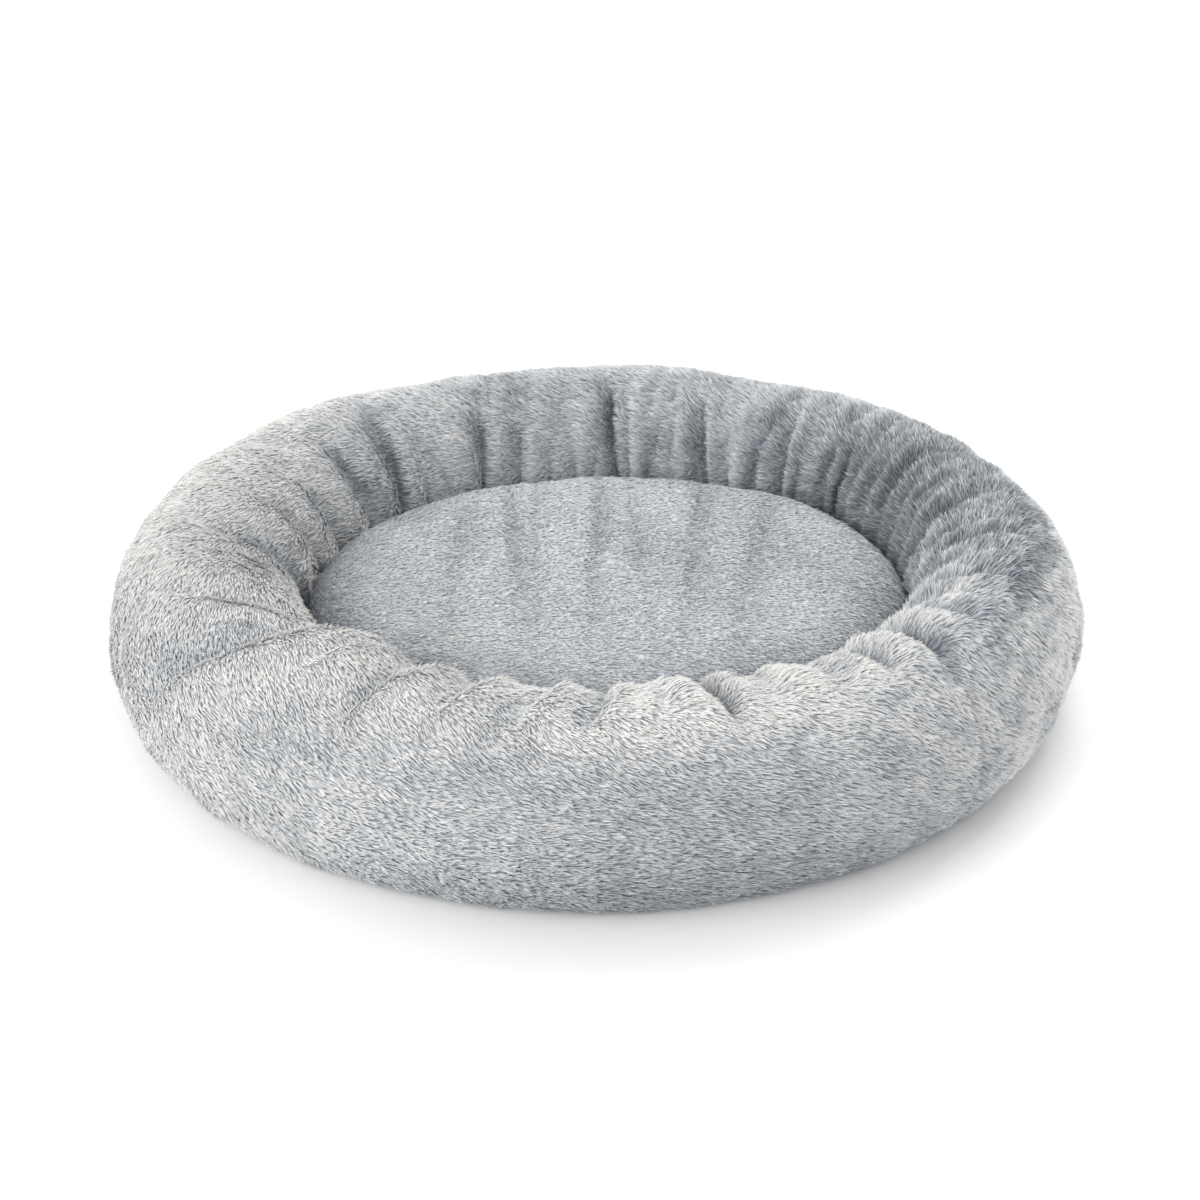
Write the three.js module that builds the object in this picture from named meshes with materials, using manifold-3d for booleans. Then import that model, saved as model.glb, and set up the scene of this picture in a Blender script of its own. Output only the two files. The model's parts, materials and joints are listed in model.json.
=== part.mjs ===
// Oval plush pet bed: a fat fibre-filled bolster ring round a loose, crowned centre cushion.
// Millimetres, +Z up. The origin is on the floor, under the middle of the bed's outline.
// The long way of the bed is along X, and its zip is low on the back, on the +Y side.
import * as THREE from 'three';
import { ParametricGeometry } from 'three/addons/geometries/ParametricGeometry.js';
import { mergeVertices } from 'three/addons/utils/BufferGeometryUtils.js';
import Module from 'manifold-3d';

const wasm = await Module();
wasm.setup();

// Driving dimensions of the bed
const bedLength = 900;
const bedDepth = 750;
const bolsterWidth = 166;
const bolsterTop = 164;
const bellyHeight = 70; // where the bolster is at its widest
const wellShift = 12; // the well lies this far towards +X, so the bolster is fatter on the left
const gap = 0.4; // between pieces that touch

// Layers of the floor, from the ground up
const panelThickness = 1.2;
const waddingThickness = 3;
const liningThickness = 1;
const floorReach = 46; // from the bolster's centreline to the base seam
const bindingWidth = 7;
const bindingLow = 0.8;
const bindingHigh = 5.8;

// Layers of the bolster, from the outside in
const plushThickness = 6;
const bagThickness = 1;
const seamAngle = THREE.MathUtils.degToRad(130); // the cover's two cross seams lie on this line
const slitLength = 60; // the filling slit of the inner bag
const slitHeight = 4;

// Gather tape, which holds the puckers at the foot of the well's wall
const tapeFar = -74;
const tapeNear = -62;
const tapeThickness = 1;

// Centre cushion
const cushionPlay = 3; // all round, so that it lifts out of the well
const cushionHeight = 112;
const cushionSeam = 50; // height of the seam between its top and its base
const cushionCloth = 5;
const cushionFoot = 0.8; // share of its length that lies flat on the floor

// Zip: its tapes lie in a slot in the cover, on a cone that follows the bolster's lower side
const zipLength = 360;
const zipHeight = 36;
const zipOffset = 73.4; // outwards from the bolster's centreline
const zipTilt = THREE.MathUtils.degToRad(20);
const slotHalf = 14;
const slotDepth = 16;
const tapeEdge = 13.5;
const clothThickness = 0.8;
const coilOuter = 2.1;
const coilInner = 0.2;
const coilBack = -0.9;
const coilFront = 1.2;
const coilMargin = 8; // bare tape past each end of the coils
const stopLength = 3;

// Zip slider and its pull
const sliderLength = 12;
const sliderWidth = 8.8;
const sliderPlate = 1;
const flangeWidth = 1.4;
const bridgeLength = 7.2;
const bridgeWidth = 2;
const bridgePost = 1.2;
const bridgeHole = 1.8;
const bridgeBar = 0.9;
const pinRadius = 0.55;
const pullWindow = 4.6;
const pullLength = 24;
const pullWidth = 6.8;
const pullArm = 1;
const pullHole = 1.8;

// Care label, sewn low on the back of the cover, beside the zip
const labelWidth = 40;
const labelHeight = 26;
const labelThickness = 0.6;
const labelTilt = THREE.MathUtils.degToRad(32);
const labelOffset = 71.5;
const labelLift = 21;
const labelTurn = THREE.MathUtils.degToRad(-27);

// Facets
const ovalSteps = 40;
const sectionSteps = 16;
const domeSteps = 6;
const arcSteps = 120;

// Heights worked out from the layers
const panelTop = panelThickness;
const waddingLow = panelTop + gap;
const waddingTop = waddingLow + waddingThickness;
const liningLow = waddingTop + gap;
const liningTop = liningLow + liningThickness;
const bolsterFloor = liningTop + gap;
const halfWidth = bolsterWidth / 2;
const tallHalf = bolsterTop - bellyHeight;

// The zip's arc is the circle that touches the oval line it follows at the back of the bed
const zipSemiX = bedLength / 2 - halfWidth + zipOffset;
const zipSemiY = bedDepth / 2 - halfWidth + zipOffset;
const zipRadius = zipSemiX ** 2 / zipSemiY;
const zipCentreY = zipSemiY - zipRadius;

const cloth = { roughness: 0.95, metalness: 0 };
const plushMaterial = () => new THREE.MeshStandardMaterial({ color: 0xc4c8cc, ...cloth });
const fibreMaterial = () => new THREE.MeshStandardMaterial({ color: 0xf2f1ec, ...cloth });
const liningMaterial = () => new THREE.MeshStandardMaterial({ color: 0xa9adb2, ...cloth });
const baseMaterial = () => new THREE.MeshStandardMaterial({ color: 0x6f7479, ...cloth });
const tapeMaterial = () => new THREE.MeshStandardMaterial({ color: 0x8d9297, ...cloth });
const labelMaterial = () => new THREE.MeshStandardMaterial({ color: 0xf4f4f2, ...cloth });
const coilMaterial = () =>
  new THREE.MeshStandardMaterial({ color: 0x9aa0a6, roughness: 0.5, metalness: 0 });
const metalMaterial = () =>
  new THREE.MeshStandardMaterial({ color: 0xb4b8bc, roughness: 0.3, metalness: 1 });

// A manifold solid from a closed geometry.
function solidOf(geometry) {
  const bare = geometry.clone();
  bare.deleteAttribute('normal');
  bare.deleteAttribute('uv');
  const merged = mergeVertices(bare, 1e-3);
  const vertProperties = new Float32Array(merged.attributes.position.array);
  const triVerts = new Uint32Array(merged.index.array);
  return new wasm.Manifold(new wasm.Mesh({ numProp: 3, vertProperties, triVerts }));
}

// A three.js geometry from a manifold solid.
function geometryOf(solid) {
  const mesh = solid.getMesh();
  const geometry = new THREE.BufferGeometry();
  geometry.setAttribute('position', new THREE.BufferAttribute(mesh.vertProperties, 3));
  geometry.setIndex(new THREE.BufferAttribute(mesh.triVerts, 1));
  geometry.computeVertexNormals();
  return geometry;
}

function block(sizeX, sizeY, sizeZ, x, y, z) {
  const geometry = new THREE.BoxGeometry(sizeX, sizeY, sizeZ);
  geometry.translate(x, y, z);
  return solidOf(geometry);
}

function named(name, geometry, material) {
  const mesh = new THREE.Mesh(geometry, material);
  mesh.name = name;
  return mesh;
}

// A point of the oval at an angle. The offset runs across the bolster from its centreline,
// and is stretched where the bolster is fatter, so that -halfWidth is always the well's edge.
function ovalPoint(angle, offset) {
  const outer = new THREE.Vector2(bedLength / 2, bedDepth / 2);
  const inner = new THREE.Vector2(bedLength / 2 - bolsterWidth, bedDepth / 2 - bolsterWidth);
  const turn = new THREE.Vector2(Math.cos(angle), Math.sin(angle));
  const outerPoint = outer.multiply(turn);
  const innerPoint = inner.multiply(turn).add(new THREE.Vector2(wellShift, 0));
  return innerPoint.lerp(outerPoint, (offset + halfWidth) / bolsterWidth);
}

// A closed section swept round the oval. section(v) gives [offset, height] for v from 0 to 1.
function ovalRing(section, steps) {
  const place = (u, v, target) => {
    const [offset, height] = section(v);
    const point = ovalPoint(2 * Math.PI * u, offset);
    target.set(point.x, point.y, height);
  };
  return new ParametricGeometry(place, ovalSteps, steps);
}

// The bolster's section, drawn in by an inset: an ellipse that is flat where it rests.
function bolsterSurface(inset) {
  const section = (v) => {
    const angle = 2 * Math.PI * v;
    const height = bellyHeight + (tallHalf - inset) * Math.sin(angle);
    return [(halfWidth - inset) * Math.cos(angle), Math.max(bolsterFloor + inset, height)];
  };
  return ovalRing(section, sectionSteps);
}

// A flat strip round the oval between two offsets, with a rectangular section.
function ovalStrip(inner, outer, low, high) {
  const corners = [[inner, low], [outer, low], [outer, high], [inner, high]];
  return ovalRing((v) => corners[Math.round(v * corners.length) % corners.length], corners.length);
}

// A flat sheet with the oval's outline at an offset.
function ovalSheet(offset, low, thickness) {
  const outline = [];
  for (let step = 0; step < ovalSteps; step += 1) {
    outline.push(ovalPoint((2 * Math.PI * step) / ovalSteps, offset));
  }
  const settings = { depth: thickness, bevelEnabled: false };
  const geometry = new THREE.ExtrudeGeometry(new THREE.Shape(outline), settings);
  geometry.translate(0, 0, low);
  return geometry;
}

// A strip of a cone round the zip's vertical axis, which is at the local origin. The strip
// lies on the line at a radius and a height. Its up runs up the slope, its out away from it.
function coneStrip(line, upLow, upHigh, outLow, outHigh, fromAngle, toAngle) {
  const corner = (up, out) => new THREE.Vector2(
    line.radius + up * Math.sin(line.tilt) + out * Math.cos(line.tilt),
    line.height + up * Math.cos(line.tilt) - out * Math.sin(line.tilt),
  );
  const loop = [
    corner(upLow, outLow), corner(upLow, outHigh), corner(upHigh, outHigh),
    corner(upHigh, outLow), corner(upLow, outLow),
  ];
  const ring = new THREE.LatheGeometry(loop, arcSteps);
  ring.rotateX(Math.PI / 2);
  return solidOf(ring).intersect(wedge(fromAngle, toAngle));
}

// A tall sector between two angles, which are counted from +Y towards -X.
function wedge(fromAngle, toAngle) {
  const reach = 2 * zipRadius;
  const edge = (angle) => new THREE.Vector2(-reach * Math.sin(angle), reach * Math.cos(angle));
  const sector = new THREE.Shape([new THREE.Vector2(0, 0), edge(fromAngle), edge(toAngle)]);
  const tall = { depth: 2 * bolsterTop, bevelEnabled: false };
  const geometry = new THREE.ExtrudeGeometry(sector, tall);
  geometry.translate(0, 0, -bolsterTop);
  return solidOf(geometry);
}

const zipLine = { radius: zipRadius, height: zipHeight, tilt: zipTilt };
const zipTurn = (distance) => distance / zipRadius;

// The slot in the cover that the zip is sewn into.
function zipSlot() {
  const half = zipTurn(zipLength / 2 + gap);
  const slot = coneStrip(zipLine, -slotHalf, slotHalf, -slotDepth, slotDepth, -half, half);
  return slot.translate(0, zipCentreY, 0);
}

// The plush cover is two lengths, joined at the two cross seams.
function coverPanels() {
  const outer = solidOf(bolsterSurface(0));
  const inner = solidOf(bolsterSurface(plushThickness));
  const cover = outer.subtract(inner).subtract(zipSlot());
  const side = 2 * bedLength;
  const half = (sign) => {
    const geometry = new THREE.BoxGeometry(side, side, side);
    geometry.translate(0, (sign * (side + gap)) / 2, 0);
    geometry.rotateZ(seamAngle);
    return geometryOf(cover.intersect(solidOf(geometry)));
  };
  return [
    named('bolster_cover_front', half(1), plushMaterial()),
    named('bolster_cover_back', half(-1), plushMaterial()),
  ];
}

// The inner bag is closed but for its filling slit.
function innerBag() {
  const outer = solidOf(bolsterSurface(plushThickness + gap));
  const inner = solidOf(bolsterSurface(plushThickness + gap + bagThickness));
  const slit = block(slitLength, bolsterWidth, slitHeight, 0, bedDepth / 2, bellyHeight);
  const shell = geometryOf(outer.subtract(inner).subtract(slit));
  return named('bolster_inner_bag', shell, liningMaterial());
}

function bolster() {
  const fill = bolsterSurface(plushThickness + bagThickness + 2 * gap);
  const tapeLow = liningTop + gap;
  const tape = ovalStrip(tapeFar, tapeNear, tapeLow, tapeLow + tapeThickness);
  return [
    ...coverPanels(),
    innerBag(),
    named('bolster_fill', fill, fibreMaterial()),
    named('gather_tape', tape, tapeMaterial()),
  ];
}

function floorLayers() {
  const bindingInner = floorReach + gap;
  const bindingOuter = bindingInner + bindingWidth;
  const binding = ovalStrip(bindingInner, bindingOuter, bindingLow, bindingHigh);
  const wadding = ovalSheet(floorReach, waddingLow, waddingThickness);
  const lining = ovalSheet(floorReach, liningLow, liningThickness);
  return [
    named('base_panel', ovalSheet(floorReach, 0, panelThickness), baseMaterial()),
    named('base_wadding', wadding, fibreMaterial()),
    named('base_lining', lining, liningMaterial()),
    named('base_binding', binding, tapeMaterial()),
  ];
}

// Half of the cushion's outline, drawn in by an inset, from its seam to the axis. It is a
// quarter ellipse over the seam, and under it a quarter ellipse that ends in the flat foot.
function cushionHalf(inset, isTop, seamHeight) {
  const radius = bedLength / 2 - bolsterWidth - cushionPlay - inset;
  const foot = isTop ? 0 : cushionFoot * radius;
  const rise = isTop ? cushionHeight - cushionSeam - inset : inset - cushionSeam;
  const points = [];
  for (let step = 0; step <= domeSteps; step += 1) {
    const angle = (Math.PI / 2) * (step / domeSteps);
    const across = foot + (radius - foot) * Math.cos(angle);
    const height = step === 0 ? seamHeight : cushionSeam + rise * Math.sin(angle);
    points.push(new THREE.Vector2(across, height));
  }
  points[domeSteps].x = foot;
  return isTop ? points : [...points, new THREE.Vector2(0, inset)];
}

// A turned solid, squeezed from round to oval.
function ovalLathe(profile) {
  const geometry = new THREE.LatheGeometry(profile, ovalSteps);
  geometry.rotateX(Math.PI / 2);
  const lengthRadius = bedLength / 2 - bolsterWidth;
  const depthRadius = bedDepth / 2 - bolsterWidth;
  geometry.scale(1, (depthRadius - cushionPlay) / (lengthRadius - cushionPlay), 1);
  return geometry;
}

function cushionParts() {
  const overSeam = cushionSeam + gap / 2;
  const underSeam = cushionSeam - gap / 2;
  const top = [
    ...cushionHalf(cushionCloth, true, overSeam).reverse(),
    ...cushionHalf(0, true, overSeam),
  ];
  const base = [
    ...cushionHalf(0, false, underSeam).reverse(),
    ...cushionHalf(cushionCloth, false, underSeam),
  ];
  const fillInset = cushionCloth + gap;
  const fill = [
    ...cushionHalf(fillInset, false, cushionSeam).reverse(),
    ...cushionHalf(fillInset, true, cushionSeam).slice(1),
  ];
  return [
    named('cushion_top_cover', ovalLathe(top), plushMaterial()),
    named('cushion_base_cover', ovalLathe(base), liningMaterial()),
    named('cushion_fill', ovalLathe(fill), fibreMaterial()),
  ];
}

// Tapes, coils and stops, with the zip drawn shut.
function zipStrips() {
  const end = zipTurn(zipLength / 2);
  const coilEnd = zipTurn(zipLength / 2 - coilMargin);
  const stopNear = zipTurn(zipLength / 2 - coilMargin + gap);
  const stopFar = zipTurn(zipLength / 2 - coilMargin + gap + stopLength);
  const tapeInner = coilOuter + gap;
  const strip = (...limits) => geometryOf(coneStrip(zipLine, ...limits));
  const tape = (low, high) => strip(low, high, -clothThickness, 0, -end, end);
  const coil = (low, high) => strip(low, high, coilBack, coilFront, -coilEnd, coilEnd);
  const stop = (from, to) => strip(-coilOuter, coilOuter, coilBack, coilFront, from, to);
  return [
    named('zip_tape_upper', tape(tapeInner, tapeEdge), tapeMaterial()),
    named('zip_tape_lower', tape(-tapeEdge, -tapeInner), tapeMaterial()),
    named('zip_coil_upper', coil(coilInner, coilOuter), coilMaterial()),
    named('zip_coil_lower', coil(-coilOuter, -coilInner), coilMaterial()),
    named('zip_stop_closed', stop(stopNear, stopFar), metalMaterial()),
    named('zip_stop_open', stop(-stopFar, -stopNear), metalMaterial()),
  ];
}

// The slider in its own frame: X along the zip, Y up the slope and Z outwards.
const plateLow = coilFront + gap;
const plateTop = plateLow + sliderPlate;
const pivotHeight = plateTop + bridgeHole / 2;

function zipSlider() {
  const plateMiddle = (plateLow + plateTop) / 2;
  const flangeHeight = plateTop - gap;
  const flangeY = (sliderWidth - flangeWidth) / 2;
  const postX = (bridgeLength - bridgePost) / 2;
  const postHeight = bridgeHole + bridgeBar;
  const barZ = plateTop + bridgeHole + bridgeBar / 2;
  let body = block(sliderLength, sliderWidth, sliderPlate, 0, 0, plateMiddle);
  for (const side of [-1, 1]) {
    const flange = block(sliderLength, flangeWidth, flangeHeight, 0, side * flangeY,
      gap + flangeHeight / 2);
    const post = block(bridgePost, bridgeWidth, postHeight, side * postX, 0,
      plateTop + postHeight / 2);
    body = body.add(flange).add(post);
  }
  body = body.add(block(bridgeLength, bridgeWidth, bridgeBar, 0, 0, barZ));
  return named('zip_slider', geometryOf(body), metalMaterial());
}

// The pull lies along -X of the slider's frame, and turns on its pin under the bridge.
function zipPull() {
  const thickness = 2 * pinRadius;
  const armY = bridgeWidth / 2 + gap + pullArm / 2;
  const armLength = pullWindow + 2 * pinRadius;
  const plateLength = pullLength - pullWindow;
  const pin = new THREE.CylinderGeometry(pinRadius, pinRadius, 2 * armY, 12);
  const grip = new THREE.CylinderGeometry(pullHole, pullHole, 4 * thickness, 20);
  grip.rotateX(Math.PI / 2);
  grip.translate(-pullLength + 2 * pullHole, 0, 0);
  let body = block(plateLength, pullWidth, thickness, -pullWindow - plateLength / 2, 0, 0);
  body = body.add(solidOf(pin)).subtract(solidOf(grip));
  for (const side of [-1, 1]) {
    body = body.add(block(armLength, pullArm, thickness, pinRadius - armLength / 2,
      side * armY, 0));
  }
  const pull = named('zip_pull', geometryOf(body), metalMaterial());
  pull.position.z = pivotHeight;
  return pull;
}

function zip() {
  const assembly = new THREE.Group();
  assembly.position.y = zipCentreY;
  assembly.add(...zipStrips());
  const sliderTravel = zipLength / 2 - coilMargin - sliderLength / 2 - gap;
  const turned = new THREE.Group();
  turned.rotation.z = Math.PI + zipTurn(sliderTravel);
  const seat = new THREE.Group();
  seat.position.set(0, -zipRadius, zipHeight);
  seat.rotation.x = Math.PI / 2 + zipTilt;
  seat.add(zipSlider(), zipPull());
  turned.add(seat);
  assembly.add(turned);
  return assembly;
}

function careLabel() {
  const radius = zipRadius - zipOffset + labelOffset;
  const line = { radius, height: labelLift, tilt: labelTilt };
  const half = labelWidth / 2 / radius;
  const sheet = coneStrip(line, -labelHeight / 2, labelHeight / 2, 0, labelThickness,
    labelTurn - half, labelTurn + half);
  const label = named('care_label', geometryOf(sheet), labelMaterial());
  label.position.y = zipCentreY;
  return label;
}

const cushion = new THREE.Group();
cushion.position.set(wellShift, 0, liningTop + gap);
cushion.add(...cushionParts());

const bed = new THREE.Group();
bed.add(...bolster(), ...floorLayers(), careLabel(), zip(), cushion);

export default bed;
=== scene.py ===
"""The looks of an oval plush pet bed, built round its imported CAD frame.

All lengths are in metres. The bolster is a grid over two angles: turn goes round the bed from
+X, and roll goes round the bolster's section, from its outer belly over the crest to the well.
"""
import json
import math

import bpy
import numpy as np
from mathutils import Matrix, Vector


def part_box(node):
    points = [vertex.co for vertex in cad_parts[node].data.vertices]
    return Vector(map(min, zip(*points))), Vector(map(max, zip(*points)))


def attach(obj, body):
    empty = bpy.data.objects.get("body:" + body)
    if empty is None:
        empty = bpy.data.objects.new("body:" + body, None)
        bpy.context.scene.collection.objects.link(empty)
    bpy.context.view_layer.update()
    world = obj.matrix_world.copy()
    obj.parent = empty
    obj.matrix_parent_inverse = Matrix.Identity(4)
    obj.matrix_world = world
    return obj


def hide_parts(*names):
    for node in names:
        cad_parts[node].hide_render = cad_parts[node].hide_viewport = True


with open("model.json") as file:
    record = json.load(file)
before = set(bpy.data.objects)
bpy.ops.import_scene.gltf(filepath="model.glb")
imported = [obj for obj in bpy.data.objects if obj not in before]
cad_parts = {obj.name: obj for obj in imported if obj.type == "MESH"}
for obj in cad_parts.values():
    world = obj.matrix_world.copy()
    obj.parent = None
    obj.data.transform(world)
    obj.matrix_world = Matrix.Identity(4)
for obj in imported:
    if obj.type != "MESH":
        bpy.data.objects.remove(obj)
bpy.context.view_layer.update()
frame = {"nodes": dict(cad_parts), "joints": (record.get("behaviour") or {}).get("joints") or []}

MM = 0.001


def node_box(node):
    low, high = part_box(node)
    return np.array(low), np.array(high)


# ---- sizes, from the frame
FRONT_LOW, FRONT_HIGH = node_box("bolster_cover_front")
BACK_HIGH = node_box("bolster_cover_back")[1]
OUTER = np.array([BACK_HIGH[0], BACK_HIGH[1]])
COVER_FLOOR = FRONT_LOW[2]
CREST = FRONT_HIGH[2]
TOP_LOW, TOP_HIGH = node_box("cushion_top_cover")
BASE_LOW, BASE_HIGH = node_box("cushion_base_cover")
CUSHION_PLAY = 3 * MM
CUSHION_SEMI = (TOP_HIGH[:2] - TOP_LOW[:2]) / 2
WELL_X = (TOP_HIGH[0] + TOP_LOW[0]) / 2
WELL = CUSHION_SEMI + CUSHION_PLAY
WIDTH = OUTER[1] - WELL[1]
BELLY = 70 * MM
PILE = 5 * MM
CLOTH = 2 * MM
SEAM_TURNS = np.radians([134.0, 314.0])
# The tapes' inner and outer edges, as offsets from the bolster's centreline
BINDING = (46.4 * MM, 53.4 * MM)
GATHER_TAPE = (-74 * MM, -62 * MM)

# ---- fineness of the grids and of the pile
AROUND = 760
ACROSS = 160
BOTTOM = -math.pi / 2
SETTLE_FRAMES = 20
TUFTS_PER_AREA = 250000
STRANDS_PER_TUFT = 4
STRAND_RADIUS = 0.2 * MM


# ---- camera, lights and floor
def add_object(name, data):
    """An object with this data, in the scene."""
    added = bpy.data.objects.new(name, data)
    bpy.context.collection.objects.link(added)
    return added


def aim(obj, target):
    direction = Vector(target) - obj.location
    obj.rotation_mode = "QUATERNION"
    obj.rotation_quaternion = direction.to_track_quat("-Z", "Y")


def add_camera():
    azimuth, elevation = math.radians(-1.4), math.radians(33.4)
    distance, target = 1.678, Vector((0.005, 0.001, 0.068))
    back = Vector((
        math.sin(azimuth) * math.cos(elevation),
        -math.cos(azimuth) * math.cos(elevation),
        math.sin(elevation),
    ))
    data = bpy.data.cameras.new("camera")
    data.lens = 53.64
    data.sensor_width = 36
    camera = add_object("camera", data)
    camera.location = target + distance * back
    aim(camera, target)
    bpy.context.scene.camera = camera


def add_area_light(name, place, size, power, colour):
    data = bpy.data.lights.new(name, "AREA")
    data.size = size
    data.energy = power
    data.color = colour
    light = add_object(name, data)
    light.location = place
    aim(light, (0, 0, 0.05))


def add_studio():
    bpy.context.scene.view_settings.view_transform = "Standard"
    world = bpy.data.worlds.new("studio")
    world.use_nodes = True
    background = world.node_tree.nodes["Background"]
    background.inputs["Color"].default_value = (0.99, 0.995, 1.0, 1)
    background.inputs["Strength"].default_value = 1.0
    bpy.context.scene.world = world
    add_area_light("key", (1.0, 1.3, 2.3), size=1.6, power=39, colour=(1.0, 0.99, 0.965))
    add_area_light("side", (-1.9, -1.2, 1.2), size=1.6, power=39, colour=(1.0, 0.99, 0.97))
    floor = bpy.data.meshes.new("floor")
    reach, level = 12, -0.4 * MM
    corners = [(x * reach, y * reach, level) for x, y in ((-1, -1), (1, -1), (1, 1), (-1, 1))]
    floor.from_pydata(corners, [], [(0, 1, 2, 3)])
    plane = add_object("floor", floor)
    pale = bpy.data.materials.new("pale_floor")
    pale.use_nodes = True
    shader = pale.node_tree.nodes["Principled BSDF"]
    shader.inputs["Base Color"].default_value = (0.86, 0.86, 0.865, 1)
    shader.inputs["Roughness"].default_value = 0.9
    floor.materials.append(pale)


# ---- materials
class Nodes:
    """Short forms for building a material's node tree."""

    def __init__(self, name):
        self.material = bpy.data.materials.new(name)
        self.material.use_nodes = True
        self.tree = self.material.node_tree
        self.shader = self.tree.nodes["Principled BSDF"]

    def add(self, kind, **settings):
        node = self.tree.nodes.new(kind)
        for key, value in settings.items():
            setattr(node, key, value)
        return node

    def link(self, output, target):
        self.tree.links.new(output, target)

    def attribute(self, name):
        return self.add("ShaderNodeAttribute", attribute_name=name)

    def place(self, scale=(1, 1, 1), source=None):
        """Object coordinates, or a vector attribute, with each axis multiplied by its scale."""
        if source is None:
            vector = self.add("ShaderNodeTexCoord").outputs["Object"]
        else:
            vector = self.attribute(source).outputs["Vector"]
        mapping = self.add("ShaderNodeMapping", vector_type="TEXTURE")
        mapping.inputs["Scale"].default_value = [1 / size for size in scale]
        self.link(vector, mapping.inputs["Vector"])
        return mapping.outputs["Vector"]

    def noise(self, vector, scale, detail=3, distortion=0.0):
        node = self.add("ShaderNodeTexNoise")
        node.inputs["Scale"].default_value = scale
        node.inputs["Detail"].default_value = detail
        node.inputs["Distortion"].default_value = distortion
        self.link(vector, node.inputs["Vector"])
        return node.outputs["Fac"]

    def wave(self, vector, scale, direction, distortion=0.0):
        node = self.add("ShaderNodeTexWave", bands_direction=direction)
        node.inputs["Scale"].default_value = scale
        node.inputs["Distortion"].default_value = distortion
        self.link(vector, node.inputs["Vector"])
        return node.outputs["Fac"]

    def ramp(self, value, *stops):
        node = self.add("ShaderNodeValToRGB")
        elements = node.color_ramp.elements
        while len(elements) < len(stops):
            elements.new(0.5)
        for element, (place, colour) in zip(elements, stops):
            element.position = place
            element.color = (*colour, 1)
        self.link(value, node.inputs["Fac"])
        return node.outputs["Color"]

    def math(self, operation, a, b):
        node = self.add("ShaderNodeMath", operation=operation)
        for socket, value in zip(node.inputs, (a, b)):
            if isinstance(value, (int, float)):
                socket.default_value = value
            else:
                self.link(value, socket)
        return node.outputs["Value"]

    def mix(self, kind, amount, a, b):
        node = self.add("ShaderNodeMix", data_type="RGBA", blend_type=kind)
        for name, value in (("Factor", amount), ("A", a), ("B", b)):
            socket = next(s for s in node.inputs if s.name == name and s.enabled)
            if isinstance(value, tuple):
                socket.default_value = (*value, 1)
            elif isinstance(value, float):
                socket.default_value = value
            else:
                self.link(value, socket)
        return next(s for s in node.outputs if s.enabled)

    def bump(self, height, strength, distance):
        node = self.add("ShaderNodeBump")
        node.inputs["Strength"].default_value = strength
        node.inputs["Distance"].default_value = distance
        self.link(height, node.inputs["Height"])
        self.link(node.outputs["Normal"], self.shader.inputs["Normal"])

    def finish(self, colour, roughness, **constants):
        if isinstance(colour, tuple):
            self.shader.inputs["Base Color"].default_value = (*colour, 1)
        else:
            self.link(colour, self.shader.inputs["Base Color"])
        self.shader.inputs["Roughness"].default_value = roughness
        for key, value in constants.items():
            self.shader.inputs[key.replace("_", " ")].default_value = value
        return self.material


PLUSH_ROOT = (0.44, 0.455, 0.48)
PLUSH_MID = (0.70, 0.695, 0.69)
PLUSH_TIP = (0.90, 0.89, 0.862)
# colours for painted shade, from the darkest to unshaded
SHADE_STOPS = ((0.0, (0.34, 0.37, 0.40)), (0.5, (0.63, 0.67, 0.72)), (1.0, (1.0, 1.0, 1.0)))


def plush_material():
    """The pile's ground, in streaks along the nap: flow is the surface's own grid in metres."""
    n = Nodes("plush")
    streaks = n.noise(n.place((90, 420, 1), "flow"), 1.0, 4, 0.6)
    tufts = n.noise(n.place(), 190, 2)
    both = n.math("ADD", n.math("MULTIPLY", streaks, 0.7), n.math("MULTIPLY", tufts, 0.3))
    pile = n.ramp(both, (0.34, (0.36, 0.38, 0.41)), (0.5, (0.51, 0.525, 0.545)),
                  (0.64, (0.66, 0.67, 0.68)))
    patches = n.noise(n.place(), 9, 2)
    tone = n.ramp(patches, (0.35, (0.88, 0.89, 0.91)), (0.65, (1.0, 1.0, 1.0)))
    # painted shade: the shade attribute darkens the ground where the pile is painted darker
    shade = n.attribute("shade").outputs["Fac"]
    shading = n.ramp(shade, *SHADE_STOPS)
    colour = n.mix("MULTIPLY", 1.0, n.mix("MULTIPLY", 1.0, pile, tone), shading)
    n.bump(both, 0.9, 1.6 * MM)
    return n.finish(colour, 0.95, Sheen_Weight=0.25, Sheen_Roughness=0.5)


def strand_material():
    """The pile's strands, darker at their roots."""
    n = Nodes("plush_strands")
    info = n.add("ShaderNodeHairInfo")
    root_to_tip = n.ramp(info.outputs["Intercept"],
                         (0.0, PLUSH_ROOT), (0.4, PLUSH_MID), (1.0, PLUSH_TIP))
    # painted shade: the tone attribute holds the shade painted at each strand's place, with random
    # tone between strands
    tone = n.ramp(n.attribute("tone").outputs["Fac"], *SHADE_STOPS)
    colour = n.mix("MULTIPLY", 1.0, root_to_tip, tone)
    return n.finish(colour, 0.75, Specular_IOR_Level=0.25)


def woven_material(name, colour, pitch, strength=0.5, roughness=0.85):
    """Plain weave: two crossed sets of threads, with a few slubs."""
    n = Nodes(name)
    warp = n.wave(n.place(), math.pi / pitch / 10, "X", 0.4)
    weft = n.wave(n.place(), math.pi / pitch / 10, "Y", 0.4)
    threads = n.math("MULTIPLY", warp, weft)
    slubs = n.noise(n.place(), 60, 3)
    dark = tuple(c * 0.72 for c in colour)
    light = tuple(min(1.0, c * 1.12) for c in colour)
    weave = n.ramp(threads, (0.0, dark), (0.7, light))
    patches = n.ramp(slubs, (0.3, (0.88, 0.88, 0.88)), (0.7, (1.0, 1.0, 1.0)))
    n.bump(threads, strength, 0.3 * MM)
    return n.finish(n.mix("MULTIPLY", 1.0, weave, patches), roughness)


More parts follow.
